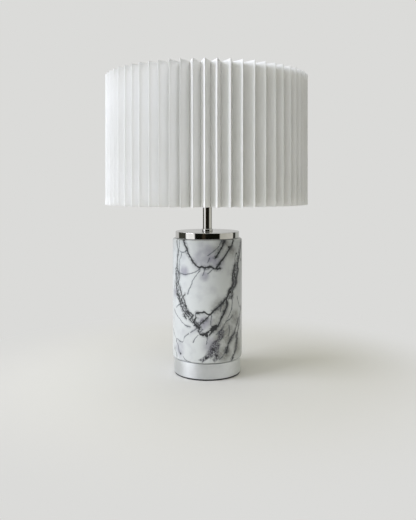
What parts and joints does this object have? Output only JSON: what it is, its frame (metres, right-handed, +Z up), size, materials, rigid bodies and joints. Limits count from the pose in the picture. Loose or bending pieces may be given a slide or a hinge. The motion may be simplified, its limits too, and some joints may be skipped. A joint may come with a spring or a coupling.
{
  "type": "column table lamp",
  "caption": "Table lamp with a round marble column on a metal base, a metal cap and short stem, a turn-knob screw lamp holder and an accordion-pleated drum shade.",
  "frame": {"origin": "middle of the underside of the foot pad, on the surface that the lamp stands on", "axes": "+Z up along the lamp's axis; -Y is the front, where the switch knob points; +Y is the back, where the cord inlet is; +X is to the right seen from the front"},
  "size_m": [0.3, 0.3, 0.4378],
  "materials": {
    "shade_cloth": "pleated off-white cloth on a stiff backing",
    "white_wire": "white powder coat",
    "felt": "black felt",
    "satin_nickel": "fine turned satin",
    "cast_weight": "as cast, painted",
    "black_moulding": "fine matt",
    "zinc_steel": "bright zinc",
    "rubber": "matt",
    "marble": "polished white marble with grey veins",
    "polished_nickel": "mirror polished nickel",
    "white_moulding": "fine matt",
    "porcelain": "glazed",
    "brass": "bright",
    "solder": "dull",
    "bulb_black_glass": "black glass",
    "bulb_cap_metal": "bright",
    "frosted_glass": "frosted"
  },
  "bodies": {
    "lamp": {"ballast_disc": "cast_weight", "base_ring": "satin_nickel", "bottom_nut": "zinc_steel", "bottom_washer": "zinc_steel", "bulb_cap": "bulb_cap_metal", "bulb_contact": "solder", "bulb_glass": "frosted_glass", "bulb_insulator": "bulb_black_glass", "centre_contact": "brass", "clamp_ring": "white_moulding", "cord_bush": "black_moulding", "cord_bush_nut": "black_moulding", "fitter_spider": "white_wire", "foot_pad": "felt", "grub_screw": "zinc_steel", "holder_cup": "polished_nickel", "holder_sleeve": "white_moulding", "lock_washer": "zinc_steel", "lower_gasket": "rubber", "lower_wire_ring": "white_wire", "marble_column": "marble", "pleated_shade": "shade_cloth", "screw_shell": "brass", "shell_contact": "brass", "socket_insulator": "porcelain", "stem_collar": "polished_nickel", "stem_tube": "polished_nickel", "terminal_blocks": "brass", "terminal_screws": "zinc_steel", "threaded_tube": "zinc_steel", "top_cap": "polished_nickel", "upper_gasket": "rubber", "upper_wire_ring": "white_wire"},
    "knob": {"switch_rotor": "white_moulding", "switch_shaft": "brass", "switch_knob": "black_moulding"}
  },
  "joints": [
    {"name": "switch_turn", "type": "hinge", "parent": "lamp", "child": "knob", "pos_m": [0, -0.0295, 0.2818], "axis": [0, -1, 0], "continuous": true}
  ]
}
